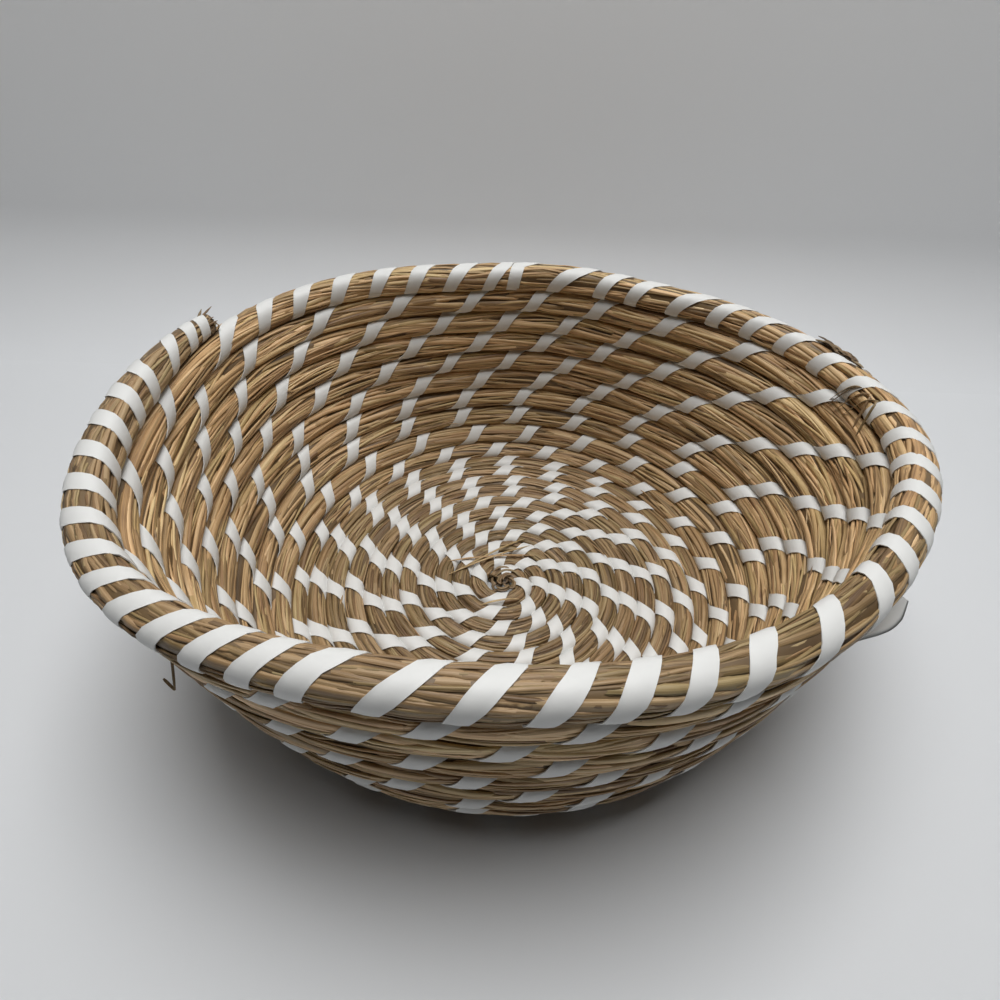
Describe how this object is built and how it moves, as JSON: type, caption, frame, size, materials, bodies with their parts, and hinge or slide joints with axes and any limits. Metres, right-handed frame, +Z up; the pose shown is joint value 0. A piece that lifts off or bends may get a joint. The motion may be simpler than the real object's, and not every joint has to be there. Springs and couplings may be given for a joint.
{
  "type": "coiled grass basket",
  "caption": "Open round bowl basket coiled from one grass bundle: flat floor, flared wall and thicker rim, bound with a flat white strip.",
  "frame": {"origin": "middle of the bounding box in plan, on the surface the basket stands on", "axes": "+Z up out of the open mouth; +X to the right and +Y away from a viewer in front; the coil's rim ends at the back left"},
  "size_m": [0.304, 0.255, 0.121],
  "materials": {
    "grass_floor": "dry, fibrous, matte",
    "grass_wall": "dry, fibrous, matte",
    "grass_rim": "dry, fibrous, matte",
    "white_strip": "smooth, slightly satin"
  },
  "bodies": {
    "root": {"base_coil": "grass_floor", "wall_coil": "grass_wall", "wall_strip_1": "white_strip", "wall_strip_2": "white_strip", "wall_strip_3": "white_strip", "wall_strip_4": "white_strip", "wall_strip_5": "white_strip", "wall_strip_6": "white_strip", "wall_strip_7": "white_strip", "wall_strip_8": "white_strip", "wall_strip_9": "white_strip", "rim_coil": "grass_rim", "rim_strip_end": "white_strip", "rim_strip_front": "white_strip", "rim_strip_back": "white_strip", "loose_strip_tail": "white_strip"}
  },
  "joints": []
}
